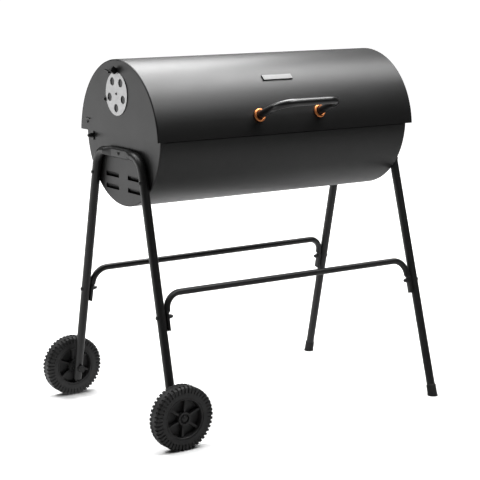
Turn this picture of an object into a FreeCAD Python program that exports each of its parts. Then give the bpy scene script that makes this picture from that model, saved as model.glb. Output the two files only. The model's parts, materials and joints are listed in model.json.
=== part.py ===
import FreeCAD, Part
import math
import os
from FreeCAD import Vector

# Drum charcoal barbecue on a two-wheel trolley. Millimetres, +Z up, floor at z = 0.
# X runs along the drum with the wheels at -X, and the front with the handle faces -Y.
# The shapes are drawn with x = 0 at the middle of the drum. save() then moves them so that the
# origin is the middle of the footprint.

# Sheet-metal drum: a lid of slightly larger radius closes over a bowl
SHEET = 1.2
LID_RADIUS = 193.6
LID_AXIS_Z = 704.6
LID_HALF_LENGTH = 380.6
LID_EDGE_Z = 714.5
BOWL_RADIUS = 183.4
BOWL_AXIS_Z = 723.5
BOWL_HALF_LENGTH = 367.5
BOWL_BEAD_Z = 711.0
BOWL_BEAD_RADIUS = 3.2
BOWL_TOP_Z = BOWL_BEAD_Z + BOWL_BEAD_RADIUS
CORNER_RADIUS = 3.0
END_FLANGE = 12.0
RETURN_FLANGE = 10.5
SEAM_GAP = 0.1

# Leg frame
HOOP_TUBE = 22.0
TUBE_WALL = 1.2
HOOP_TOP_Z = 671.0
HOOP_X = BOWL_HALF_LENGTH + HOOP_TUBE / 2
HOOP_BEND = 45.0
HOOP_FLAT = 13.0
HOOP_FLAT_HEIGHT = 26.5
HOOP_FLAT_Y = 36.0
HOOP_ROUND_Y = 66.0
HOOP_JOINT_Z = 577.0
SPIGOT_LENGTH = 35.0
LEG_REFERENCE_Z = 628.0
LEG_REFERENCE_Y = {-1: 115.7, 1: 114.8}
LEG_SPLAY = {-1: 0.233, 1: 0.26}
LEG_TILT = {-1: 0.0015, 1: 0.0238}
WHEEL_LEG_END_Z = 48.0
FOOT_LEG_END_Z = 7.0
HOOP_BOLT_Z = 613.0

# Rubber foot caps of the two right legs
FOOT_DIAMETER = 25.6
FOOT_HEIGHT = 28.0
FOOT_FLARE = 1.2

# Stretchers between the legs
STRETCHER_TUBE = 16.0
STRETCHER_Z = 353.0
STRETCHER_BEND = 40.0
STRETCHER_END_Z = 267.0
STRETCHER_FLAT = 10.0
STRETCHER_FLAT_WIDTH = 19.4
STRETCHER_BOLT_Z = 300.0

# Wheels
WHEEL_RADIUS = 78.0
WHEEL_WIDTH = 36.0
WHEEL_INNER_Y = 262.0
WHEEL_BORE = 5.05
TREAD_TEETH = 46
TREAD_DEPTH = 3.0
LUG_FOOT_RADIUS = 61.0
TREAD_BAND = 7.0
RIM_RADIUS = 48.0
HUB_RADIUS = 16.0
HUB_RECESS = 12.0
HUB_SEAT = 11.5
SPOKES = 6
SPOKE_TURN = 23.4

# Fasteners
M6 = 3.0
M6_FLATS = 10.0
AXLE_RADIUS = 5.0
AXLE_FLATS = 17.0

# Lid hinge: straps inside the lid ends turn on bolts through the bowl ends
HINGE_Y = 151.0
HINGE_Z = 700.5
STRAP_THICKNESS = 2.0
STRAP_STAND_OFF = 1.1
STRAP_SCREW = (155.5, 735.0)

# Air vent in the left lid end
VENT_Z = 815.0
VENT_RADIUS = 52.5
VENT_THICKNESS = 1.5
VENT_HOLE_CIRCLE = 34.5
VENT_DISC_HOLE = 10.2
VENT_LID_HOLE = 8.8
VENT_DISC_TURN = 2.5
VENT_HOLES = 5
VENT_GAP = 0.4
GRIP_LEAN = 37.0
GRIP_START = 0.8
GRIP_LENGTH = 16.4
GRIP_WIDTH = 8.6
GRIP_THICKNESS = 14.6
SIDE_BOLT = (56.5, 799.0)

# Handle
HANDLE_TUBE = 19.0
HANDLE_MIDDLE = -3.0
HANDLE_HALF_SPAN = 89.5
HANDLE_BASE_ANGLE = 17.0
HANDLE_RISE = 21.0
HANDLE_REACH = 99.5
HANDLE_BEND = 41.0

# Blank name plate on the lid: a satin face on a black base
BADGE_MIDDLE = -5.0
BADGE_WIDTH = 87.0
BADGE_LOW, BADGE_HIGH = 44.3, 48.9
BADGE_BASE_THICKNESS = 2.8
BADGE_FACE_THICKNESS = 0.7
BADGE_INSET = 0.7

# Grates
GRATE_WIRE = 2.2
GRATE_FRAME = 3.0
GRATE_CORNER = 14.0
GRATE_Z = 684.3
GRATE_HALF_DEPTH = 176.0
GRATE_LENGTH = 358.0
GRATE_MIDDLE_GAP = 4.0
GRATE_BARS = 20
COAL_GRATE_Z = 626.3
COAL_HALF_DEPTH = 150.0
COAL_HALF_LENGTH = 347.0
COAL_BARS = 30

SIDES = (("left", -1), ("right", 1))
ENDS = (("front", -1), ("rear", 1))
X = Vector(1, 0, 0)
Z = Vector(0, 0, 1)

FOOT_REACH = HOOP_X + LEG_TILT[1] * HOOP_TOP_Z + (FOOT_DIAMETER + FOOT_FLARE) / 2
WHEEL_X = -(HOOP_X + LEG_TILT[-1] * (HOOP_TOP_Z - WHEEL_RADIUS))
ORIGIN_X = (WHEEL_RADIUS - WHEEL_X - FOOT_REACH) / 2


# ---- helpers -------------------------------------------------------------------------------

def fuse(shapes):
    shapes = list(shapes)
    result = shapes[0].multiFuse(shapes[1:]) if len(shapes) > 1 else shapes[0]
    return result.removeSplitter()


def box(low, high):
    return Part.makeBox(high[0] - low[0], high[1] - low[1], high[2] - low[2], Vector(*low))


def rod(radius, start, end):
    start, end = Vector(*start), Vector(*end)
    return Part.makeCylinder(radius, (end - start).Length, start, end - start)


def placed(shape, at, axis):
    """A shape drawn along +Z from the origin, moved to a point and turned to an axis."""
    turn = FreeCAD.Rotation(Z, Vector(*axis))
    moved = shape.copy()
    moved.Placement = FreeCAD.Placement(Vector(*at), turn).multiply(shape.Placement)
    return moved


def face_of(points):
    points = [Vector(*p) for p in points]
    return Part.Face(Part.makePolygon(points + [points[0]]))


def arc(a, b, c):
    return Part.Arc(Vector(*a), Vector(*b), Vector(*c)).toShape()


def line(a, b):
    return Part.makeLine(Vector(*a), Vector(*b))


def path_wire(points, bend):
    """Straight runs through the points, with every corner rounded to one bend radius."""
    points = [Vector(*p) for p in points]
    edges = []
    start = points[0]
    for before, corner, after in zip(points, points[1:], points[2:]):
        back = (before - corner).normalize()
        on = (after - corner).normalize()
        half = back.getAngle(on) / 2
        reach = bend / math.tan(half)
        middle = (back + on).normalize()
        first = corner + back * reach
        last = corner + on * reach
        crown = corner + middle * (bend / math.sin(half) - bend)
        edges.append(Part.makeLine(start, first))
        edges.append(Part.Arc(first, crown, last).toShape())
        start = last
    edges.append(Part.makeLine(start, points[-1]))
    return Part.Wire(edges)


def pipe(points, bend, radius):
    wire = path_wire(points, bend)
    along = Vector(*points[1]) - Vector(*points[0])
    ring = Part.Wire([Part.makeCircle(radius, Vector(*points[0]), along)])
    return wire.makePipeShell([ring], True, False)


def bent_tube(points, bend, diameter):
    outer = pipe(points, bend, diameter / 2)
    return outer.cut(pipe(points, bend, diameter / 2 - TUBE_WALL))


def straight_tube(start, end, diameter):
    return rod(diameter / 2, start, end).cut(rod(diameter / 2 - TUBE_WALL, start, end))


def domed(radius, height):
    """A disc with a spherical crown, standing on z = 0."""
    ball = (radius ** 2 + height ** 2) / (2 * height)
    sphere = Part.makeSphere(ball, Vector(0, 0, height - ball))
    return sphere.common(Part.makeCylinder(radius, height))


def hexagon(flats, height):
    corner = flats / math.sqrt(3)
    points = []
    for i in range(6):
        a = math.radians(60 * i)
        points.append((corner * math.cos(a), corner * math.sin(a), 0))
    prism = face_of(points).extrude(Vector(0, 0, height))
    cone = Part.makeCone(corner + height, flats / 2 * 0.96, height + corner - flats / 2 * 0.96)
    return prism.common(cone)


def nut(flats, height, bore):
    return hexagon(flats, height).cut(Part.makeCylinder(bore, height))


def domed_nut(flats, height, bore, depth):
    crown = domed(flats / 2 * 0.86, height * 0.62)
    crown.translate(Vector(0, 0, height * 0.45))
    body = hexagon(flats, height * 0.5)
    return fuse([body, crown]).cut(Part.makeCylinder(bore, depth))


def pan_bolt(radius, length, head_radius, head_height):
    """Domed head above z = 0 and a shank below it."""
    shank = rod(radius, (0, 0, -length), (0, 0, 0.01))
    return fuse([domed(head_radius, head_height), shank])


def hex_bolt(radius, length, flats, head_height):
    shank = rod(radius, (0, 0, -length), (0, 0, 0.01))
    return fuse([hexagon(flats, head_height), shank])


def washer(outer, bore, thickness):
    return Part.makeCylinder(outer, thickness).cut(Part.makeCylinder(bore, thickness))


def save(name, shapes):
    shapes = shapes if isinstance(shapes, list) else [shapes]
    solids = []
    for shape in shapes:
        moved = shape.copy()
        moved.translate(Vector(ORIGIN_X, 0, 0))
        solids += moved.Solids
    result = solids[0] if len(solids) == 1 else Part.makeCompound(solids)
    result.exportStep(f"parts/{name}.step")


# ---- drum ----------------------------------------------------------------------------------

def round_end(side, half_length, radius, axis_z):
    """A pressed end: flat disc, rounded corner and a flange that sits inside the shell."""
    corner_x = half_length - CORNER_RADIUS
    inner_r = radius - SHEET - SEAM_GAP
    core_r = inner_r - SHEET
    rim_r = radius - CORNER_RADIUS
    blend = math.sqrt(0.5)
    edges = [
        line((half_length, 0, 0), (half_length, 0, rim_r)),
        arc((half_length, 0, rim_r),
            (corner_x + CORNER_RADIUS * blend, 0, rim_r + CORNER_RADIUS * blend),
            (corner_x, 0, radius)),
        line((corner_x, 0, radius), (corner_x, 0, inner_r)),
        line((corner_x, 0, inner_r), (corner_x - END_FLANGE, 0, inner_r)),
        line((corner_x - END_FLANGE, 0, inner_r), (corner_x - END_FLANGE, 0, core_r)),
        line((corner_x - END_FLANGE, 0, core_r), (corner_x, 0, core_r)),
        arc((corner_x, 0, core_r),
            (corner_x + (CORNER_RADIUS - SHEET) * 0.74, 0, rim_r + (core_r - rim_r) * 0.68),
            (half_length - SHEET, 0, rim_r)),
        line((half_length - SHEET, 0, rim_r), (half_length - SHEET, 0, 0)),
        line((half_length - SHEET, 0, 0), (half_length, 0, 0)),
    ]
    pan = Part.Face(Part.Wire(edges)).revolve(Vector(0, 0, 0), X, 360)
    if side < 0:
        pan = pan.mirror(Vector(0, 0, 0), X)
    pan.translate(Vector(0, 0, axis_z))
    return pan


def half_shell(half_length, radius, axis_z):
    start = (-half_length, 0, axis_z)
    end = (half_length, 0, axis_z)
    return rod(radius, start, end).cut(rod(radius - SHEET, start, end))


def above(z):
    return box((-500, -300, z), (500, 300, 1000))


def below(z):
    return box((-500, -300, 400), (500, 300, z))


def lid_shell():
    half = LID_HALF_LENGTH - CORNER_RADIUS
    shell = half_shell(half, LID_RADIUS, LID_AXIS_Z).common(above(LID_EDGE_Z))
    inner = LID_RADIUS - SHEET
    flange_half = half - END_FLANGE - 0.5
    flange = box((-flange_half, -inner - 0.3, LID_EDGE_Z),
                 (flange_half, -inner + RETURN_FLANGE, LID_EDGE_Z + SHEET))
    hem_start = (-flange_half, 0, LID_AXIS_Z)
    hem_end = (flange_half, 0, LID_AXIS_Z)
    hem = rod(inner + 0.1, hem_start, hem_end).cut(rod(inner - SHEET, hem_start, hem_end))
    hem = hem.common(box((-500, 100, LID_EDGE_Z), (500, 300, LID_EDGE_Z + 9)))
    shell = fuse([shell, flange, hem])
    for side in (-1, 1):
        shell = shell.cut(handle_screw_hole(side))
    return shell


def handle_frame(side):
    """Base point on the lid surface, and the direction in which the handle leg leaves it."""
    a = math.radians(HANDLE_BASE_ANGLE)
    rise = math.radians(HANDLE_RISE)
    base = Vector(HANDLE_MIDDLE + side * HANDLE_HALF_SPAN, -LID_RADIUS * math.cos(a),
                  LID_AXIS_Z + LID_RADIUS * math.sin(a))
    return base, Vector(0, -math.cos(rise), math.sin(rise))


def handle_screw_hole(side):
    base, out = handle_frame(side)
    return Part.makeCylinder(M6 + 0.3, 40, base - out * 20, out)


def louvre_centres(half_length, side):
    """Two columns and two rows of pressed louvres in a bowl end."""
    return [(side * half_length, y, z) for y in (-54.5, 54.5) for z in (583.0, 613.5)]


def louvre(at, side):
    """The slot through the sheet, and the scoop pressed inwards behind it, open at its foot."""
    x, y, z = at
    width, height, depth = 65.0, 12.5, 11.0
    low, high = z - height / 2, z + height / 2
    corner = 7.0
    blend = math.sqrt(0.5)

    def outline(grow, x0):
        left, right = y - width / 2 - grow, y + width / 2 + grow
        top = high + grow
        r = corner + grow
        edges = [
            line((x0, left, low), (x0, left, top - r)),
            arc((x0, left, top - r), (x0, left + r * (1 - blend), top - r * (1 - blend)),
                (x0, left + r, top)),
            line((x0, left + r, top), (x0, right - r, top)),
            arc((x0, right - r, top), (x0, right - r * (1 - blend), top - r * (1 - blend)),
                (x0, right, top - r)),
            line((x0, right, top - r), (x0, right, low)),
            line((x0, right, low), (x0, left, low)),
        ]
        return Part.Face(Part.Wire(edges))

    inward = Vector(-side * (depth + 3), 0, 0)
    hole = outline(0, x + side).extrude(inward)
    outer = outline(SHEET, x - side * SHEET / 2).extrude(Vector(-side * depth, 0, 0))
    slope = face_of([(x + side, y - 60, high + 1), (x - side * 1.2, y - 60, high + 1),
                     (x - side * (depth + 1), y - 60, low - 4), (x + side, y - 60, low - 4)])
    slope_out = slope.extrude(Vector(0, 120, 0))
    slope_in = slope_out.copy()
    slope_in.translate(Vector(side * SHEET * 1.4, 0, 0))
    scoop = outer.common(slope_out).cut(hole.common(slope_in))
    return hole, scoop


def bowl_shell():
    half = BOWL_HALF_LENGTH - CORNER_RADIUS
    shell = half_shell(half, BOWL_RADIUS, BOWL_AXIS_Z).common(below(BOWL_BEAD_Z))
    wall_y = math.sqrt(BOWL_RADIUS ** 2 - (BOWL_AXIS_Z - BOWL_BEAD_Z) ** 2)
    bead_half = half - END_FLANGE - 0.5
    beads = []
    for s in (-1, 1):
        y = s * (wall_y - BOWL_BEAD_RADIUS)
        beads.append(rod(BOWL_BEAD_RADIUS, (-bead_half, y, BOWL_BEAD_Z), (bead_half, y, BOWL_BEAD_Z)))
    return fuse([shell] + beads)


def bowl_end(side):
    pan = round_end(side, BOWL_HALF_LENGTH, BOWL_RADIUS, BOWL_AXIS_Z).common(below(BOWL_TOP_Z))
    lip_y = BOWL_RADIUS - CORNER_RADIUS - 2
    outer = BOWL_HALF_LENGTH - SHEET / 2
    inner = BOWL_HALF_LENGTH - RETURN_FLANGE
    low = (min(side * outer, side * inner), -lip_y, BOWL_TOP_Z - SHEET)
    high = (max(side * outer, side * inner), lip_y, BOWL_TOP_Z)
    pieces = [pan, box(low, high)]
    holes = []
    for at in louvre_centres(BOWL_HALF_LENGTH, side):
        hole, scoop = louvre(at, side)
        pieces.append(scoop)
        holes.append(hole.common(box((side * BOWL_HALF_LENGTH - 2, -200, 400),
                                     (side * BOWL_HALF_LENGTH + 2, 200, 700))))
    end = pieces[0].multiFuse([pieces[1]])
    end = end.cut(Part.makeCompound(holes)).multiFuse(pieces[2:]).removeSplitter()
    for y, z in bowl_bolt_points(side):
        end = end.cut(rod(M6 + 0.2, (side * 350, y, z), (side * 380, y, z)))
    return end.cut(rod(M6 + 0.2, (side * 350, HINGE_Y, HINGE_Z), (side * 380, HINGE_Y, HINGE_Z)))


def vent_hole_positions(offset):
    points = []
    for i in range(VENT_HOLES):
        a = math.radians(-90 + offset + 360 / VENT_HOLES * i)
        points.append((VENT_HOLE_CIRCLE * math.cos(a), VENT_Z + VENT_HOLE_CIRCLE * math.sin(a)))
    return points


def lid_end(side):
    pan = round_end(side, LID_HALF_LENGTH, LID_RADIUS, LID_AXIS_Z).common(above(LID_EDGE_Z))
    outer = LID_HALF_LENGTH - SHEET / 2
    inner = LID_HALF_LENGTH - SHEET - RETURN_FLANGE
    low = (min(side * outer, side * inner), -LID_RADIUS + CORNER_RADIUS + 2, LID_EDGE_Z)
    high = (max(side * outer, side * inner), 128.0, LID_EDGE_Z + SHEET)
    end = fuse([pan, box(low, high)])
    near, far = side * 360, side * 390
    y, z = STRAP_SCREW
    cuts = [rod(2.7, (near, y, z), (far, y, z)), strap_slot(side)]
    if side < 0:
        for y, z in vent_hole_positions(180 / VENT_HOLES):
            cuts.append(rod(VENT_LID_HOLE, (near, y, z), (far, y, z)))
        cuts.append(rod(2.55, (near, 0, VENT_Z), (far, 0, VENT_Z)))
        y, z = SIDE_BOLT
        cuts.append(rod(M6 + 0.2, (near, y, z), (far, y, z)))
    return end.cut(Part.makeCompound(cuts))


def vent_stop():
    """A small wedge fixed to the lid end beside the vent, which ends the travel of the grip."""
    x = -LID_HALF_LENGTH
    outline = [(x, 29.0, 867.4), (x, 59.0, 870.8), (x, 29.5, 863.0)]
    wedge = face_of(outline).extrude(Vector(-7.0, 0, 0))
    trim = face_of([(x - 1.0, 61, 0), (x - 13.0, 61, 0), (x - 13.0, 31, 0), (x - 7.0, 31, 0)])
    return wedge.cut(trim.extrude(Vector(0, 0, 1000)))


# ---- lid fittings --------------------------------------------------------------------------

def handle():
    points = []
    for side, ends in ((-1, ("base", "corner")), (1, ("corner", "base"))):
        base, out = handle_frame(side)
        spots = {"base": base - out * 6, "corner": base + out * HANDLE_REACH}
        points += [tuple(spots[name]) for name in ends]
    tube = bent_tube(points, HANDLE_BEND, HANDLE_TUBE)
    lid = rod(LID_RADIUS + 0.05, (-200, 0, LID_AXIS_Z), (200, 0, LID_AXIS_Z))
    return tube.cut(lid)


def handle_inserts():
    inserts = []
    for side in (-1, 1):
        base, out = handle_frame(side)
        radius = HANDLE_TUBE / 2 - TUBE_WALL
        plug = Part.makeCylinder(radius, 22, base - out * 2, out)
        plug = plug.cut(Part.makeCylinder(M6, 60, base - out * 20, out))
        lid = rod(LID_RADIUS + 0.1, (-200, 0, LID_AXIS_Z), (200, 0, LID_AXIS_Z))
        inserts.append(plug.cut(lid))
    return inserts


def handle_rings():
    rings = []
    for side in (-1, 1):
        base, out = handle_frame(side)
        a = math.radians(HANDLE_BASE_ANGLE)
        normal = Vector(0, -math.cos(a), math.sin(a))
        centre = base + normal * 3.5
        rings.append(Part.makeTorus(HANDLE_TUBE / 2 + 3.5, 3.3, centre, normal))
    return rings


def handle_screws():
    screws = []
    for side in (-1, 1):
        base, out = handle_frame(side)
        screw = pan_bolt(M6, 18.0, 7.0, 3.6)
        seat = base - out * 3.2
        screws.append(placed(screw, tuple(seat), tuple(out * -1)))
    return screws


def badge_layer(inner, outer, inset):
    """One curved layer of the name plate, between two radii, drawn in by inset all round."""
    half = BADGE_WIDTH / 2 - inset
    start, end = (BADGE_MIDDLE - half, 0, LID_AXIS_Z), (BADGE_MIDDLE + half, 0, LID_AXIS_Z)
    ring = rod(outer, start, end).cut(rod(inner, start, end))
    far = LID_RADIUS * 1.3
    trim = inset / LID_RADIUS
    low, high = math.radians(BADGE_LOW) + trim, math.radians(BADGE_HIGH) - trim
    wedge = face_of([(-200, 0, LID_AXIS_Z),
                     (-200, -far * math.cos(low), LID_AXIS_Z + far * math.sin(low)),
                     (-200, -far * math.cos(high), LID_AXIS_Z + far * math.sin(high))])
    return ring.common(wedge.extrude(Vector(400, 0, 0)))


def badge_base():
    return badge_layer(LID_RADIUS, LID_RADIUS + BADGE_BASE_THICKNESS, 0)


def badge_plate():
    inner = LID_RADIUS + BADGE_BASE_THICKNESS
    return badge_layer(inner, inner + BADGE_FACE_THICKNESS, BADGE_INSET)


def grip_bar(width, thickness, start, end):
    """A bar along the leaning axis of the vent grip, from start to end beyond the disc edge."""
    lean = math.radians(GRIP_LEAN)
    bar = box((-thickness / 2, -width / 2, start), (thickness / 2, width / 2, end))
    at = (-LID_HALF_LENGTH - VENT_GAP - VENT_THICKNESS / 2, 0, VENT_Z + VENT_RADIUS - 0.4)
    return placed(bar, at, (-math.cos(lean), 0, math.sin(lean)))


def vent_disc():
    x = -LID_HALF_LENGTH - VENT_GAP
    disc = rod(VENT_RADIUS, (x, 0, VENT_Z), (x - VENT_THICKNESS, 0, VENT_Z))
    holes = vent_hole_positions(VENT_DISC_TURN)
    cuts = [rod(VENT_DISC_HOLE, (x + 1, y, z), (x - 5, y, z)) for y, z in holes]
    cuts.append(rod(2.55, (x + 1, 0, VENT_Z), (x - 5, 0, VENT_Z)))
    lug = grip_bar(4.6, VENT_THICKNESS, -1.0, 13.0)
    lug = lug.cut(box((x, -20, 800), (x + 20, 20, 900)))
    return fuse([disc, lug]).cut(Part.makeCompound(cuts))


def vent_grip():
    """Moulded grip pushed over the leaning lug of the disc."""
    block = grip_bar(GRIP_WIDTH, GRIP_THICKNESS, GRIP_START, GRIP_START + GRIP_LENGTH)
    block = block.makeFillet(1.3, block.Edges)
    face = -LID_HALF_LENGTH - VENT_GAP
    block = block.cut(box((face, -20, 800), (face + 30, 20, 900)))
    disc = rod(VENT_RADIUS + 0.1, (face + 1, 0, VENT_Z), (face - VENT_THICKNESS - 0.1, 0, VENT_Z))
    return block.cut(fuse([disc, grip_bar(4.7, VENT_THICKNESS + 0.1, -2.0, 13.1)]))


def vent_rivet():
    x = -LID_HALF_LENGTH - VENT_GAP - VENT_THICKNESS - 0.3
    head = placed(domed(3.6, 1.8), (x, 0, VENT_Z), (-1, 0, 0))
    shaft = rod(2.5, (x - 0.1, 0, VENT_Z), (-LID_HALF_LENGTH + SHEET + 0.1, 0, VENT_Z))
    tail_x = -LID_HALF_LENGTH + SHEET
    tail = placed(domed(4.0, 1.6), (tail_x, 0, VENT_Z), (1, 0, 0))
    return fuse([shaft, head, tail])


def side_bolt():
    y, z = SIDE_BOLT
    return placed(hex_bolt(M6, 8.4, M6_FLATS, 4.0), (-LID_HALF_LENGTH + SHEET, y, z), (1, 0, 0))


def side_nut():
    y, z = SIDE_BOLT
    return placed(nut(M6_FLATS, 4.4, M6), (-LID_HALF_LENGTH, y, z), (-1, 0, 0))


# ---- hinge ---------------------------------------------------------------------------------

def strap_x(side):
    """Inner and outer X of the strap's upper part, which is screwed inside the lid end."""
    outer = LID_HALF_LENGTH - SHEET
    return side * (outer - STRAP_THICKNESS), side * outer


def eye_x(side):
    """Inner and outer X of the strap's lower part, which turns close to the bowl end."""
    inner = BOWL_HALF_LENGTH + STRAP_STAND_OFF
    return side * inner, side * (inner + STRAP_THICKNESS)


def strap_slot(side):
    return box((min(side * 370, side * 390), 142.5, 742.4), (max(side * 370, side * 390), 165.5, 745.6))


def hinge_strap(side):
    """Joggled strap from the lid end down to an eye on the hinge bolt, with a tab at its top."""
    low, high = HINGE_Y - 4.8, HINGE_Y + 4.8
    eye_low, eye_high = sorted(eye_x(side))
    top_low, top_high = sorted(strap_x(side))
    eye = box((eye_low, low, 689.0), (eye_high, high, 724.0))
    shelf = box((min(eye_low, top_low), low, 722.0), (max(eye_high, top_high), high + 7, 724.0))
    plate = box((top_low, low, 722.0), (top_high, high + 7, 746.8))
    tab_end = side * (LID_HALF_LENGTH + 3.0)
    tab = box((min(top_low, tab_end), 143.0, 743.0), (max(top_high, tab_end), 165.0, 745.0))
    strap = fuse([eye, shelf, plate, tab])
    y, z = STRAP_SCREW
    near, far = side * 360, side * 390
    strap = strap.cut(rod(M6 + 0.06, (near, HINGE_Y, HINGE_Z), (far, HINGE_Y, HINGE_Z)))
    return strap.cut(rod(2.6, (near, y, z), (far, y, z)))


def strap_screws():
    y, z = STRAP_SCREW
    screw = pan_bolt(2.5, 9.0, 4.6, 3.0)
    return [placed(screw, (s * LID_HALF_LENGTH, y, z), (s, 0, 0)) for _, s in SIDES]


def strap_nuts():
    y, z = STRAP_SCREW
    seat = LID_HALF_LENGTH - SHEET - STRAP_THICKNESS
    return [placed(nut(8.0, 3.6, 2.5), (s * seat, y, z), (-s, 0, 0)) for _, s in SIDES]


def hinge_bolts():
    seat = BOWL_HALF_LENGTH - SHEET
    bolt = pan_bolt(M6, 13.5, 6.0, 3.4)
    return [placed(bolt, (s * seat, HINGE_Y, HINGE_Z), (-s, 0, 0)) for _, s in SIDES]


def hinge_spacers():
    bush = washer(6.0, M6 + 0.05, STRAP_STAND_OFF - 0.3)
    return [placed(bush, (s * BOWL_HALF_LENGTH, HINGE_Y, HINGE_Z), (s, 0, 0)) for _, s in SIDES]


def hinge_nuts():
    seat = eye_x(1)[1] + 0.3
    piece = domed_nut(M6_FLATS, 12.4, M6 + 0.02, 9.2)
    return [placed(piece, (s * seat, HINGE_Y, HINGE_Z), (s, 0, 0)) for _, s in SIDES]


# ---- leg frame -----------------------------------------------------------------------------

def leg_y(side, z):
    return LEG_REFERENCE_Y[side] + LEG_SPLAY[side] * (LEG_REFERENCE_Z - z)


def leg_x(side, z):
    return side * (HOOP_X + LEG_TILT[side] * (HOOP_TOP_Z - z))


def leg_point(side, end, z):
    return (leg_x(side, z), end * leg_y(side, z), z)


def leg_direction(side, end):
    low, high = Vector(*leg_point(side, end, 0)), Vector(*leg_point(side, end, 600))
    return (low - high).normalize()


def bowl_bolt_points(side):
    y = leg_y(side, HOOP_BOLT_Z)
    return [(0.0, HOOP_TOP_Z), (-y, HOOP_BOLT_Z), (y, HOOP_BOLT_Z)]


def hoop_section(side, y, wall):
    """Closed outline of the hoop's top run at y: round at its ends and flat-sided between."""
    if abs(y) > HOOP_FLAT_Y:
        radius = HOOP_TUBE / 2 - wall
        middle = HOOP_X
        corner = math.radians(40)
        flat = (radius * math.cos(corner), radius * math.sin(corner))
        crown = (0.0, radius)
        bulge = radius
    else:
        half = HOOP_FLAT / 2 - wall
        middle = BOWL_HALF_LENGTH + 0.05 + HOOP_FLAT / 2
        flat = (half, (HOOP_FLAT_HEIGHT - HOOP_FLAT) / 2)
        crown = (0.0, HOOP_FLAT_HEIGHT / 2 - wall)
        bulge = half

    def at(across, up):
        return (side * middle + across, y, HOOP_TOP_Z + up)

    a, b = flat
    if bulge > a:
        sides = [arc(at(a, -b), at(bulge, 0), at(a, b)), arc(at(-a, b), at(-bulge, 0), at(-a, -b))]
    else:
        sides = [line(at(a, -b), at(a, b)), line(at(-a, b), at(-a, -b))]
    top = arc(at(a, b), at(0, crown[1]), at(-a, b))
    foot = arc(at(-a, -b), at(0, -crown[1]), at(a, -b))
    return Part.Wire([sides[0], top, sides[1], foot])


def hoop_solid(side, wall):
    """The hoop's outside, or its inside where wall is given, with the top run pressed flat."""
    points = [leg_point(side, -1, HOOP_JOINT_Z), leg_point(side, -1, HOOP_TOP_Z),
              leg_point(side, 1, HOOP_TOP_Z), leg_point(side, 1, HOOP_JOINT_Z)]
    bent = pipe(points, HOOP_BEND, HOOP_TUBE / 2 - wall)
    bent = bent.cut(box((-450, -HOOP_ROUND_Y, 640), (450, HOOP_ROUND_Y, 700)))
    stations = (-HOOP_ROUND_Y, -HOOP_FLAT_Y, HOOP_FLAT_Y, HOOP_ROUND_Y)
    sections = [hoop_section(side, y, wall) for y in stations]
    return fuse([bent, Part.makeLoft(sections, True, True)])


def leg_hoop(side):
    """Inverted U of tube across one end of the bowl, with a reduced spigot on each leg."""
    pieces = [hoop_solid(side, 0).cut(hoop_solid(side, TUBE_WALL))]
    spigot = HOOP_TUBE - 2 * TUBE_WALL - 2 * SEAM_GAP
    for _, end in ENDS:
        top = Vector(*leg_point(side, end, HOOP_JOINT_Z))
        down = leg_direction(side, end)
        start, stop = top - down * 8, top + down * SPIGOT_LENGTH
        tube = straight_tube(tuple(start), tuple(stop), spigot)
        collar = washer(HOOP_TUBE / 2 - TUBE_WALL + 0.3, spigot / 2 - 0.3, 4.0)
        pieces += [tube, placed(collar, tuple(top - down * 4), tuple(down))]
    hoop = fuse(pieces)
    for y, z in bowl_bolt_points(side):
        hoop = hoop.cut(rod(M6 + 0.1, (side * 350, y, z), (side * 420, y, z)))
    return hoop


def lower_leg(side, end):
    stop_z = WHEEL_LEG_END_Z if side < 0 else FOOT_LEG_END_Z
    start = leg_point(side, end, HOOP_JOINT_Z)
    stop = leg_point(side, end, stop_z)
    leg = straight_tube(start, stop, HOOP_TUBE)
    leg = leg.cut(stretcher_bolt_hole(side, end, M6 + 0.1))
    if side < 0:
        y = end * leg_y(side, WHEEL_RADIUS)
        hole = rod(AXLE_RADIUS + 0.1, (WHEEL_X, y - 30, WHEEL_RADIUS), (WHEEL_X, y + 30, WHEEL_RADIUS))
        leg = leg.cut(hole)
    return leg


def foot_cap(end):
    """Rubber cap over the leg end, with a slightly flared foot ground flat at the floor."""
    side = 1
    down = leg_direction(side, end)
    bottom = Vector(*leg_point(side, end, 0))
    up = down * -1
    body = Part.makeCylinder(FOOT_DIAMETER / 2, FOOT_HEIGHT + 8, bottom + down * 8, up)
    flare = Part.makeCone(FOOT_DIAMETER / 2 + FOOT_FLARE, FOOT_DIAMETER / 2, 17.0, bottom + down * 8, up)
    crown = Part.makeCone(FOOT_DIAMETER / 2, HOOP_TUBE / 2 + 0.6, 2.0, bottom + up * FOOT_HEIGHT, up)
    cap = fuse([body, flare, crown])
    cap = cap.cut(box((200, -500, -60), (600, 500, 0)))
    socket_start = Vector(*leg_point(side, end, FOOT_LEG_END_Z - 0.5))
    socket = Part.makeCylinder(HOOP_TUBE / 2 + 0.05, 60, socket_start, up)
    return cap.cut(socket)


# ---- stretchers ----------------------------------------------------------------------------

def stretcher_point(side, end, z, thickness=STRETCHER_TUBE):
    inward = (HOOP_TUBE + thickness) / 2 + SEAM_GAP
    return (leg_x(side, z) - side * inward, end * leg_y(side, z), z)


def flattened_end(side, end, wall):
    """The lower end of a stretcher, pressed from round to flat where it lies against the leg."""
    down = leg_direction(side, end)
    start_z = STRETCHER_Z - STRETCHER_BEND
    start = Vector(*stretcher_point(side, end, start_z))
    ring = Part.Wire([Part.makeCircle(STRETCHER_TUBE / 2 - wall, start, down)])
    wires = [ring]
    across = Vector(0, 1, 0).cross(down).normalize()
    along = down.cross(across).normalize()
    for z in (start_z - 5.5, STRETCHER_END_Z):
        middle = Vector(*stretcher_point(side, end, z, STRETCHER_FLAT))
        wide = middle + along * (STRETCHER_FLAT_WIDTH / 2 - wall)
        thin = middle + across * (STRETCHER_FLAT / 2 - wall)
        wires.append(Part.Wire([Part.Ellipse(wide, thin, middle).toShape()]))
    return Part.makeLoft(wires, True, True)


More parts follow.
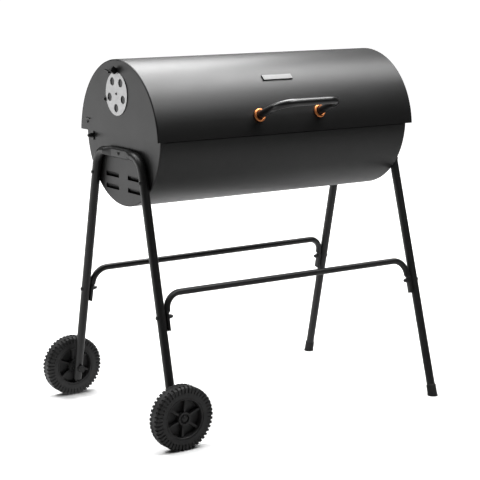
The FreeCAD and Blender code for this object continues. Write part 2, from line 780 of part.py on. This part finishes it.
def stretcher(end):
    bend_z = STRETCHER_Z - STRETCHER_BEND
    points = [stretcher_point(-1, end, bend_z), stretcher_point(-1, end, STRETCHER_Z),
              stretcher_point(1, end, STRETCHER_Z), stretcher_point(1, end, bend_z)]
    outer = [pipe(points, STRETCHER_BEND - 0.6, STRETCHER_TUBE / 2)]
    inner = [pipe(points, STRETCHER_BEND - 0.6, STRETCHER_TUBE / 2 - TUBE_WALL)]
    for _, side in SIDES:
        outer.append(flattened_end(side, end, 0))
        inner.append(flattened_end(side, end, TUBE_WALL))
    bar = fuse(outer).cut(fuse(inner))
    for _, side in SIDES:
        bar = bar.cut(stretcher_bolt_hole(side, end, M6 + 0.1))
    return bar


def stretcher_bolt_hole(side, end, radius):
    y = end * leg_y(side, STRETCHER_BOLT_Z)
    return rod(radius, (side * 330, y, STRETCHER_BOLT_Z), (side * 430, y, STRETCHER_BOLT_Z))


def stretcher_bolts():
    bolts = []
    reach = HOOP_TUBE + STRETCHER_FLAT + SEAM_GAP + 6.0
    for _, side in SIDES:
        for _, end in ENDS:
            x = leg_x(side, STRETCHER_BOLT_Z) + side * HOOP_TUBE / 2
            y = end * leg_y(side, STRETCHER_BOLT_Z)
            bolt = pan_bolt(M6, reach, 6.0, 3.6)
            bolts.append(placed(bolt, (x, y, STRETCHER_BOLT_Z), (side, 0, 0)))
    return bolts


def stretcher_nuts():
    nuts = []
    for _, side in SIDES:
        for _, end in ENDS:
            outer = HOOP_TUBE / 2 + STRETCHER_FLAT + SEAM_GAP + 0.15
            x = leg_x(side, STRETCHER_BOLT_Z) - side * outer
            y = end * leg_y(side, STRETCHER_BOLT_Z)
            piece = domed_nut(M6_FLATS, 11.0, M6 + 0.02, 7.2)
            nuts.append(placed(piece, (x, y, STRETCHER_BOLT_Z), (-side, 0, 0)))
    return nuts


def hoop_bolts():
    bolts = []
    for _, side in SIDES:
        for y, z in bowl_bolt_points(side):
            x = leg_x(side, z) + side * HOOP_TUBE / 2
            if y == 0:
                x = side * (BOWL_HALF_LENGTH + 0.05 + HOOP_FLAT)
            reach = abs(x) - BOWL_HALF_LENGTH + SHEET + 10.0
            bolts.append(placed(pan_bolt(M6, reach, 5.6, 3.4), (x, y, z), (side, 0, 0)))
    return bolts


def hoop_nuts():
    """Nuts inside the bowl, clamping the grate supports against the bowl ends."""
    nuts = []
    seat = BOWL_HALF_LENGTH - SHEET - 2.0
    for _, side in SIDES:
        for y, z in bowl_bolt_points(side):
            nuts.append(placed(nut(M6_FLATS, 5.0, M6), (side * seat, y, z), (-side, 0, 0)))
    return nuts


# ---- wheels --------------------------------------------------------------------------------

def lug_ring(low, high, turn):
    """A band of radial lugs drawn round Z, from the plain sidewall out to the tread."""
    points = []
    pitch = 360 / TREAD_TEETH
    for i in range(TREAD_TEETH):
        for share, radius in ((-0.30, LUG_FOOT_RADIUS), (-0.285, WHEEL_RADIUS),
                              (0.285, WHEEL_RADIUS), (0.30, LUG_FOOT_RADIUS)):
            a = math.radians((i + share + turn) * pitch)
            points.append((radius * math.cos(a), radius * math.sin(a), low))
    band = face_of(points).extrude(Vector(0, 0, high - low))
    band = band.cut(Part.makeCylinder(LUG_FOOT_RADIUS - 3.0, high - low, Vector(0, 0, low)))
    half, shoulder = WHEEL_WIDTH / 2, 3.5
    outline = [(0, -half), (WHEEL_RADIUS - shoulder, -half), (WHEEL_RADIUS, -half + shoulder),
               (WHEEL_RADIUS, half - shoulder), (WHEEL_RADIUS - shoulder, half), (0, half)]
    envelope = face_of([(r, 0, z) for r, z in outline]).revolve(Vector(0, 0, 0), Z, 360)
    return band.common(envelope)


def wheel_profile():
    """Half section of the rim and tyre, without the lugs."""
    half = WHEEL_WIDTH / 2
    base = WHEEL_RADIUS - TREAD_DEPTH
    face = half - 2.2
    outer = [
        (WHEEL_RADIUS - 0.9, TREAD_BAND), (base, TREAD_BAND), (base, face - 3), (base - 3, face),
        (LUG_FOOT_RADIUS + 0.5, face), (LUG_FOOT_RADIUS + 0.5, half), (RIM_RADIUS + 2.5, half),
        (RIM_RADIUS + 2.5, half - 1.6), (RIM_RADIUS + 1, half - 1.6), (RIM_RADIUS + 1, half - 0.4),
        (RIM_RADIUS - 1.5, half - 0.4), (RIM_RADIUS - 2.5, half - 2), (RIM_RADIUS - 4, 4),
    ]
    return outer + [(r, -z) for r, z in reversed(outer)]


def wheel(end):
    """Moulded wheel, drawn round Z with its outer face up, then stood on the floor."""
    half = WHEEL_WIDTH / 2
    ring = face_of([(r, 0, z) for r, z in wheel_profile()]).revolve(Vector(0, 0, 0), Z, 360)
    web = Part.makeCylinder(RIM_RADIUS - 3.5, 3.0, Vector(0, 0, -1.5))
    hub = Part.makeCylinder(HUB_RADIUS, WHEEL_WIDTH - 1.5, Vector(0, 0, -half))
    pieces = [ring, web, hub]
    for i in range(SPOKES):
        rib = box((HUB_RADIUS - 1.5, -2.6, -half + 5), (RIM_RADIUS - 3.2, 2.6, half - 5))
        rib.rotate(Vector(0, 0, 0), Z, 360 / SPOKES * i + SPOKE_TURN)
        pieces.append(rib)
    lugs = [lug_ring(TREAD_BAND - 0.5, half, 0.0), lug_ring(-half, -TREAD_BAND + 0.5, 0.5)]
    body = pieces[0].multiFuse(pieces[1:] + lugs)
    body = body.cut(Part.makeCylinder(WHEEL_BORE, 60, Vector(0, 0, -30)))
    body = body.cut(Part.makeCylinder(HUB_RECESS, 20, Vector(0, 0, HUB_SEAT)))
    body = placed(body, (0, 0, 0), (0, end, 0))
    y = end * (WHEEL_INNER_Y + WHEEL_WIDTH / 2)
    body.translate(Vector(WHEEL_X, y, WHEEL_RADIUS))
    return body


def axle_seat(end):
    """Y of the seat at the bottom of the hub recess, where the axle bolt head bears."""
    return end * (WHEEL_INNER_Y + WHEEL_WIDTH / 2 + HUB_SEAT)


def axle_bolts():
    bolts = []
    for _, end in ENDS:
        seat = axle_seat(end) + end * 0.4
        inner = axle_nut_seat(end)
        reach = abs(seat - inner) + 9.0
        bolt = fuse([domed(9.6, 6.4), rod(AXLE_RADIUS, (0, 0, -reach), (0, 0, 0.01))])
        bolts.append(placed(bolt, (WHEEL_X, seat, WHEEL_RADIUS), (0, end, 0)))
    return bolts


def axle_nut_seat(end):
    return end * (leg_y(-1, WHEEL_RADIUS) - HOOP_TUBE / 2 - 2.6)


def axle_spacers():
    """Bushes between leg and wheel, and saddles between leg and nut, hollowed to fit the tube."""
    spacers = []
    for _, end in ENDS:
        leg = rod(HOOP_TUBE / 2 + 0.05, leg_point(-1, end, 200), leg_point(-1, end, 0))
        spans = [(leg_y(-1, WHEEL_RADIUS) + HOOP_TUBE / 2 - 1.0, WHEEL_INNER_Y - 0.4),
                 (abs(axle_nut_seat(end)) + 0.05, leg_y(-1, WHEEL_RADIUS) - HOOP_TUBE / 2 + 2.0)]
        for start, stop in spans:
            bush = washer(9.0, AXLE_RADIUS + 0.02, stop - start)
            bush = placed(bush, (WHEEL_X, end * start, WHEEL_RADIUS), (0, end, 0))
            spacers.append(bush.cut(leg))
    return spacers


def axle_nuts():
    nuts = []
    for _, end in ENDS:
        at = (WHEEL_X, axle_nut_seat(end), WHEEL_RADIUS)
        nuts.append(placed(nut(AXLE_FLATS, 8.0, AXLE_RADIUS + 0.02), at, (0, -end, 0)))
    return nuts


# ---- inside the bowl -----------------------------------------------------------------------

def wire_grate(low, high, half_depth, base_z, bars):
    """Rounded rectangular frame, two stiffeners along X and cross bars welded on top."""
    z = base_z + GRATE_FRAME
    left, right = low + GRATE_FRAME, high - GRATE_FRAME
    depth = half_depth - GRATE_FRAME
    pieces = []
    for end in (-1, 1):
        points = [(left, 0, z), (left, end * depth, z), (right, end * depth, z), (right, 0, z)]
        pieces.append(pipe(points, GRATE_CORNER, GRATE_FRAME))
    for y in (-depth / 3, depth / 3):
        pieces.append(rod(GRATE_FRAME - 0.2, (left, y, z), (right, y, z)))
    frame = fuse(pieces)
    step = (right - left) / (bars + 1)
    top = z + GRATE_FRAME + GRATE_WIRE * 0.5
    wires = []
    for i in range(bars):
        x = left + step * (i + 1)
        wires.append(rod(GRATE_WIRE, (x, -depth - 0.5, top), (x, depth + 0.5, top)))
    return frame.multiFuse(wires).removeSplitter()


def cooking_grate(side):
    near = side * GRATE_MIDDLE_GAP / 2
    far = side * (GRATE_MIDDLE_GAP / 2 + GRATE_LENGTH)
    return wire_grate(min(near, far), max(near, far), GRATE_HALF_DEPTH, GRATE_Z, GRATE_BARS)


def charcoal_grate():
    return wire_grate(-COAL_HALF_LENGTH, COAL_HALF_LENGTH, COAL_HALF_DEPTH, COAL_GRATE_Z, COAL_BARS)


def angle_bracket(side, y_low, y_high, shelf_z, drop, reach):
    """Angle with its upright flange against the bowl end and its shelf pointing inwards."""
    wall = BOWL_HALF_LENGTH - SHEET
    upright = (side * (wall - 2.0), side * wall)
    shelf = (side * (wall - reach), side * wall)
    pieces = [
        box((min(upright), y_low, shelf_z - drop), (max(upright), y_high, shelf_z)),
        box((min(shelf), y_low, shelf_z - 2.0), (max(shelf), y_high, shelf_z)),
    ]
    return fuse(pieces)


def grate_rail(side):
    rail = angle_bracket(side, -150.0, 135.0, GRATE_Z - 0.3, 22.0, 18.0)
    return rail.cut(rod(M6 + 0.1, (side * 350, 0, HOOP_TOP_Z), (side * 380, 0, HOOP_TOP_Z)))


def coal_brackets():
    brackets = []
    for _, side in SIDES:
        for _, end in ENDS:
            y = end * leg_y(side, HOOP_BOLT_Z)
            low, high = y - 14, y + 14
            bracket = angle_bracket(side, low, high, COAL_GRATE_Z - 0.3, 22.0, 32.0)
            hole = rod(M6 + 0.1, (side * 350, y, HOOP_BOLT_Z), (side * 380, y, HOOP_BOLT_Z))
            brackets.append(bracket.cut(hole))
    return brackets


# ---- build ---------------------------------------------------------------------------------

def main():
    os.makedirs("parts", exist_ok=True)
    save("bowl_shell", bowl_shell())
    save("lid_shell", lid_shell())
    for name, side in SIDES:
        save(f"bowl_end_{name}", bowl_end(side))
        save(f"lid_end_{name}", lid_end(side))
        save(f"hinge_strap_{name}", hinge_strap(side))
        save(f"leg_hoop_{name}", leg_hoop(side))
        save(f"cooking_grate_{name}", cooking_grate(side))
        save(f"grate_rail_{name}", grate_rail(side))
        for end_name, end in ENDS:
            save(f"lower_leg_{end_name}_{name}", lower_leg(side, end))
    for name, end in ENDS:
        save(f"foot_cap_{name}", foot_cap(end))
        save(f"stretcher_{name}", stretcher(end))
        save(f"wheel_{name}", wheel(end))
    save("lid_handle", handle())
    save("handle_inserts", handle_inserts())
    save("handle_rings", handle_rings())
    save("handle_screws", handle_screws())
    save("badge_base", badge_base())
    save("badge_plate", badge_plate())
    save("vent_disc", vent_disc())
    save("vent_grip", vent_grip())
    save("vent_rivet", vent_rivet())
    save("vent_stop", vent_stop())
    save("vent_side_bolt", side_bolt())
    save("vent_side_nut", side_nut())
    save("hinge_strap_screws", strap_screws())
    save("hinge_strap_nuts", strap_nuts())
    save("hinge_bolts", hinge_bolts())
    save("hinge_spacers", hinge_spacers())
    save("hinge_nuts", hinge_nuts())
    save("stretcher_bolts", stretcher_bolts())
    save("stretcher_nuts", stretcher_nuts())
    save("hoop_bolts", hoop_bolts())
    save("hoop_nuts", hoop_nuts())
    save("axle_bolts", axle_bolts())
    save("axle_spacers", axle_spacers())
    save("axle_nuts", axle_nuts())
    save("charcoal_grate", charcoal_grate())
    save("charcoal_grate_brackets", coal_brackets())


main()
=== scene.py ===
import json
import math

import bmesh
import bpy
from mathutils import Matrix, Vector


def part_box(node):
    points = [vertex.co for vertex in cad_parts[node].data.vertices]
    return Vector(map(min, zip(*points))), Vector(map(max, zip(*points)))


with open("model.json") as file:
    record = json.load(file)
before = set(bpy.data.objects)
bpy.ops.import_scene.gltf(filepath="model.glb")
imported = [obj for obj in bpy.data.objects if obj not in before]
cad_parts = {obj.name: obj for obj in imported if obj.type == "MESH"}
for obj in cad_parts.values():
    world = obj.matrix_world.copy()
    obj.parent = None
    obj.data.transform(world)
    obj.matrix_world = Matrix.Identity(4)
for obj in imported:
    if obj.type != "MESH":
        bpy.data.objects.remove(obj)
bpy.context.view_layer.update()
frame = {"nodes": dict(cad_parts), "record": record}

nodes = frame["nodes"]


# ---- node trees ----------------------------------------------------------------------------

NOISE_BAND = (0.3, 0.7)  # where nearly all of a noise's values lie


class Tree:
    """A short way to write a material's node tree around one Principled shader."""

    def __init__(self, name):
        self.material = bpy.data.materials.new(name)
        self.material.use_nodes = True
        self.nodes = self.material.node_tree.nodes
        self.links = self.material.node_tree.links
        self.shader = self.nodes["Principled BSDF"]
        self.place = self.nodes.new("ShaderNodeTexCoord").outputs["Object"]

    def set(self, **values):
        """Constants, put on the shader's own sockets."""
        for name, value in values.items():
            self.shader.inputs[name.replace("_", " ")].default_value = value

    def to(self, name, value):
        self.links.new(value, self.shader.inputs[name])

    def noise(self, scale, detail, roughness=0.5):
        node = self.nodes.new("ShaderNodeTexNoise")
        node.inputs["Scale"].default_value = scale
        node.inputs["Detail"].default_value = detail
        node.inputs["Roughness"].default_value = roughness
        self.links.new(self.place, node.inputs["Vector"])
        return node.outputs["Fac"]

    def ramp(self, value, band, start, end):
        """A value that crosses the band becomes a grey level or colour from start to end."""
        node = self.nodes.new("ShaderNodeValToRGB")
        for element, position, level in zip(node.color_ramp.elements, band, (start, end)):
            element.position = position
            element.color = (level, level, level, 1) if isinstance(level, float) else (*level, 1)
        self.links.new(value, node.inputs["Fac"])
        return node.outputs["Color"]

    def mix(self, share, first, second):
        """The first colour, a socket, with a share of the second, a constant."""
        node = self.nodes.new("ShaderNodeMix")
        node.data_type = "RGBA"
        factor, under, over = node.inputs[0], node.inputs[6], node.inputs[7]
        self.links.new(share, factor)
        self.links.new(first, under)
        over.default_value = (*second, 1)
        return node.outputs[2]

    def bump(self, height, distance, under=None):
        node = self.nodes.new("ShaderNodeBump")
        node.inputs["Strength"].default_value = 1.0
        node.inputs["Distance"].default_value = distance
        self.links.new(height, node.inputs["Height"])
        if under is not None:
            self.links.new(under, node.inputs["Normal"])
        return node.outputs["Normal"]

    def math(self, operation, first, second):
        node = self.nodes.new("ShaderNodeMath")
        node.operation = operation
        for socket, value in zip(node.inputs, (first, second)):
            if isinstance(value, float):
                socket.default_value = value
            else:
                self.links.new(value, socket)
        return node.outputs[0]

    def distance_fade(self, near, far, start, end):
        """near up to the distance start from the middle, and far from the distance end."""
        length = self.nodes.new("ShaderNodeVectorMath")
        length.operation = "LENGTH"
        self.links.new(self.place, length.inputs[0])
        fade = self.nodes.new("ShaderNodeMapRange")
        fade.interpolation_type = "SMOOTHSTEP"
        for name, value in (("From Min", start), ("From Max", end), ("To Min", near), ("To Max", far)):
            fade.inputs[name].default_value = value
        self.links.new(length.outputs["Value"], fade.inputs["Value"])
        return fade.outputs["Result"]

    def lobe(self, toward, power):
        """1 in the direction toward from the middle, fading to 0 at right angles to it."""
        unit = self.nodes.new("ShaderNodeVectorMath")
        unit.operation = "NORMALIZE"
        self.links.new(self.place, unit.inputs[0])
        dot = self.nodes.new("ShaderNodeVectorMath")
        dot.operation = "DOT_PRODUCT"
        dot.inputs[1].default_value = Vector(toward).normalized()
        self.links.new(unit.outputs["Vector"], dot.inputs[0])
        return self.math("POWER", self.math("MAXIMUM", dot.outputs["Value"], 0.0), power)

    def glow(self, strength):
        self.set(Emission_Color=(1, 1, 1, 1))
        self.to("Emission Strength", strength)


# ---- finishes ------------------------------------------------------------------------------

def grey(value):
    return (value, value, value)


def satin_paint(name, dark, light, rough, peel, ior=1.5):
    """Sprayed satin black: fine orange peel, broad tonal drift and a few dull dusty patches."""
    tree = Tree(name)
    tree.set(Metallic=0.0, IOR=ior)
    drift = tree.ramp(tree.noise(7.0, 5.0, 0.6), NOISE_BAND, dark, light)
    dust = tree.ramp(tree.noise(900.0, 2.0, 0.6), (0.66, 0.8), 0.0, 1.0)
    dusty = tuple(1.6 * level for level in light)
    tree.to("Base Color", tree.mix(dust, drift, dusty))
    tree.to("Roughness", tree.ramp(tree.noise(16.0, 6.0, 0.65), (0.3, 0.72), *rough))
    coarse = tree.bump(tree.noise(260.0, 3.0), peel)
    tree.to("Normal", tree.bump(tree.noise(1300.0, 2.0), peel * 0.35, under=coarse))
    return tree.material


def moulded(name, dark, light, rough, grain):
    """Plastic, rubber or a dull coating: soft tonal drift and a fine grain."""
    tree = Tree(name)
    tree.set(IOR=1.47)
    tree.to("Base Color", tree.ramp(tree.noise(40.0, 5.0, 0.6), NOISE_BAND, dark, light))
    tree.to("Roughness", tree.ramp(tree.noise(90.0, 5.0, 0.6), NOISE_BAND, *rough))
    tree.to("Normal", tree.bump(tree.noise(1500.0, 3.0, 0.6), grain))
    return tree.material


def metal(name, dark, light, rough, grain):
    """Plated or bare metal with a slightly uneven tone and polish."""
    tree = Tree(name)
    tree.set(Metallic=1.0)
    tree.to("Base Color", tree.ramp(tree.noise(30.0, 6.0, 0.6), NOISE_BAND, dark, light))
    tree.to("Roughness", tree.ramp(tree.noise(160.0, 5.0, 0.6), NOISE_BAND, *rough))
    tree.to("Normal", tree.bump(tree.noise(700.0, 3.0), grain))
    return tree.material


# name, dark and light tone, least and most roughness, and the depth of the grain in metres
finishes = {
    "drum_paint": satin_paint("satin drum paint", grey(0.007), grey(0.010), (0.395, 0.43), 0.00002),
    "frame_paint": satin_paint("satin frame paint", grey(0.010), grey(0.015), (0.36, 0.44), 0.00002),
    "handle_gloss": satin_paint("gloss handle enamel", grey(0.009), grey(0.012), (0.27, 0.31), 0.000004,
                                ior=1.62),
    "copper": metal("copper plating", (0.78, 0.28, 0.10), (0.84, 0.32, 0.12), (0.42, 0.50), 0.000003),
    "badge_metal": moulded("satin name plate", grey(0.21), grey(0.25), (0.42, 0.5), 0.000004),
    "zinc_plate": metal("zinc plating", grey(0.44), grey(0.52), (0.40, 0.5), 0.00001),
    "black_fastener": moulded("black fasteners", grey(0.026), grey(0.036), (0.3, 0.42), 0.00001),
    "grip_plastic": moulded("black grip", grey(0.004), grey(0.007), (0.42, 0.5), 0.00002),
    "wheel_plastic": moulded("wheel moulding", grey(0.027), grey(0.035), (0.42, 0.54), 0.00003),
    "foot_rubber": moulded("foot rubber", grey(0.012), grey(0.018), (0.55, 0.7), 0.00005),
    "chrome_wire": metal("chromed wire", grey(0.62), grey(0.72), (0.14, 0.24), 0.00001),
    "coal_wire": metal("steel wire", grey(0.2), grey(0.3), (0.4, 0.6), 0.00003),
}
slot_of = {part["node"]: part["material_slot"] for part in frame["record"]["subparts"]}
for name, node in nodes.items():
    node.data.materials.clear()
    node.data.materials.append(finishes[slot_of[name]])


# ---- camera --------------------------------------------------------------------------------

CAMERA_AZIMUTH = 33.578     # degrees, as are the next two
CAMERA_ELEVATION = 10.631
CAMERA_ROLL = -0.248
CAMERA_FROM_DRUM = Vector((-2.08094, -3.12432, 1.12531))    # from the floor under the bowl's middle
FOCAL_LENGTH = 110.4        # mm, as is the next one
SENSOR_WIDTH = 36.0
SHIFT = (-0.0145, -0.0035)


def look(ahead):
    """The turn of a lamp or camera that faces along ahead."""
    return ahead.to_track_quat("-Z", "Y").to_matrix().to_4x4()


def camera():
    data = bpy.data.cameras.new("camera")
    data.lens = FOCAL_LENGTH
    data.sensor_width = SENSOR_WIDTH
    data.shift_x, data.shift_y = SHIFT
    data.clip_end = 200.0
    eye = bpy.data.objects.new("camera", data)
    low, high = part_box("bowl_shell")
    place = CAMERA_FROM_DRUM + Vector(((low[0] + high[0]) / 2, 0.0, 0.0))
    turn = math.radians(CAMERA_AZIMUTH)
    dip = math.radians(CAMERA_ELEVATION)
    ahead = Vector((math.sin(turn) * math.cos(dip), math.cos(turn) * math.cos(dip), -math.sin(dip)))
    roll = Matrix.Rotation(math.radians(CAMERA_ROLL), 4, "Z")
    eye.matrix_world = Matrix.Translation(place) @ look(ahead) @ roll
    bpy.context.scene.collection.objects.link(eye)
    bpy.context.scene.camera = eye


# ---- lamps ---------------------------------------------------------------------------------

DRUM_HEIGHT = 0.7   # where the lid closes

# name, place and size in metres, and power in watts
STUDIO_LAMPS = (
    ("overhead_rear", (0.5, 0.9, 2.3), (1.1, 0.9), 39.0),
    ("overhead_middle", (0.5, -0.1, 2.4), (1.1, 1.1), 29.0),
    ("overhead_front", (0.5, -1.1, 2.2), (1.1, 0.9), 13.0),
    ("overhead_right", (1.3, -0.1, 2.4), (1.0, 1.1), 21.0),
    ("overhead_left", (-0.5, 0.0, 2.4), (0.9, 1.1), 11.0),
    ("high_left", (-1.7, 1.4, 3.0), (1.5, 1.5), 45.0),
)
FLOOR_LAMP = ("floor_fill", (0.0, 0.0, 3.0), (6.0, 6.0), 205.0)
GROUNDED = ("wheel", "lower_leg", "foot")  # how the names of what stands on the floor begin


def softbox(name, place, size, power, aim=None):
    """A rectangular lamp that faces aim, or else a place on the drum's axis, halfway to its own x."""
    data = bpy.data.lights.new(name, "AREA")
    data.shape = "RECTANGLE"
    data.size, data.size_y = size
    data.energy = power
    lamp = bpy.data.objects.new(name, data)
    ahead = Vector(aim or (place[0] / 2, 0.0, DRUM_HEIGHT)) - Vector(place)
    lamp.matrix_world = Matrix.Translation(place) @ look(ahead)
    bpy.context.scene.collection.objects.link(lamp)
    return lamp


def group(name, pieces):
    collection = bpy.data.collections.new(name)
    for piece in pieces:
        collection.objects.link(piece)
    return collection


def floor_fill(seen):
    """A wide soft light for the floor alone, which only the wheels and legs shade."""
    lamp = softbox(*FLOOR_LAMP, aim=(0.0, 0.0, 0.0))
    grounded = [node for name, node in nodes.items() if name.startswith(GROUNDED)]
    lamp.light_linking.receiver_collection = group("floor_only", [seen])
    lamp.light_linking.blocker_collection = group("grounded_pieces", grounded)


# ---- floor and room ------------------------------------------------------------------------

FLOOR_HALF_WIDTH = 80.0
BOUNCE_DROP = 0.001     # how far the reflected floor lies under the visible one
BACKDROP_GLOW = 1.05    # enough to turn the far floor white
BOUNCE_GLOW = (0.5, 1.95)
# direction, how narrow, and share of the glow that the paint reflects
BOUNCE_LOBES = (((-0.7, 0.7, 0.0), 2.0, 1.0), ((0.5, 0.87, 0.0), 14.0, 1.3))
ROOM_LIGHT = 0.04


def sheet(name, height, material):
    mesh = bpy.data.meshes.new(name)
    work = bmesh.new()
    bmesh.ops.create_grid(work, x_segments=1, y_segments=1, size=FLOOR_HALF_WIDTH)
    work.to_mesh(mesh)
    work.free()
    plane = bpy.data.objects.new(name, mesh)
    plane.location.z = height
    mesh.materials.append(material)
    bpy.context.scene.collection.objects.link(plane)
    return plane


def visible_floor():
    """A pale floor that only the camera sees, white where it meets the backdrop."""
    tree = Tree("pale floor")
    tree.to("Base Color", tree.ramp(tree.noise(3.0, 4.0), NOISE_BAND, 0.8, 0.82))
    tree.set(Roughness=0.9)
    tree.glow(tree.distance_fade(0.0, BACKDROP_GLOW, start=1.2, end=3.2))
    floor = sheet("floor", 0.0, tree.material)
    for kind in ("diffuse", "glossy", "transmission", "volume_scatter", "shadow"):
        setattr(floor, "visible_" + kind, False)
    return floor


def reflected_floor():
    """The bright studio floor as the object's paint reflects it, out of the camera's sight."""
    tree = Tree("lit floor")
    tree.set(Base_Color=(0.45, 0.45, 0.45, 1), Roughness=1.0, Specular_IOR_Level=0.0)
    lobes = [tree.math("MULTIPLY", tree.lobe(toward, power), share) for toward, power, share in BOUNCE_LOBES]
    fade = tree.distance_fade(*BOUNCE_GLOW, start=0.8, end=4.5)
    tree.glow(tree.math("MULTIPLY", fade, tree.math("ADD", *lobes)))
    sheet("floor_bounce", -BOUNCE_DROP, tree.material).visible_camera = False


def backdrop():
    """White behind the object for the camera, and a dim room for light and reflections."""
    world = bpy.data.worlds.new("studio")
    bpy.context.scene.world = world
    world.use_nodes = True
    tree = world.node_tree
    seen = tree.nodes["Background"]
    room = tree.nodes.new("ShaderNodeBackground")
    for background, strength in ((seen, 1.0), (room, ROOM_LIGHT)):
        background.inputs["Color"].default_value = (1, 1, 1, 1)
        background.inputs["Strength"].default_value = strength
    ray = tree.nodes.new("ShaderNodeLightPath")
    choose = tree.nodes.new("ShaderNodeMixShader")
    tree.links.new(ray.outputs["Is Camera Ray"], choose.inputs[0])
    tree.links.new(room.outputs["Background"], choose.inputs[1])
    tree.links.new(seen.outputs["Background"], choose.inputs[2])
    tree.links.new(choose.outputs["Shader"], tree.nodes["World Output"].inputs["Surface"])


# ---- the scene -----------------------------------------------------------------------------

camera()
floor_fill(visible_floor())
reflected_floor()
backdrop()
for lamp in STUDIO_LAMPS:
    softbox(*lamp)
bpy.context.scene.view_settings.view_transform = "Standard"
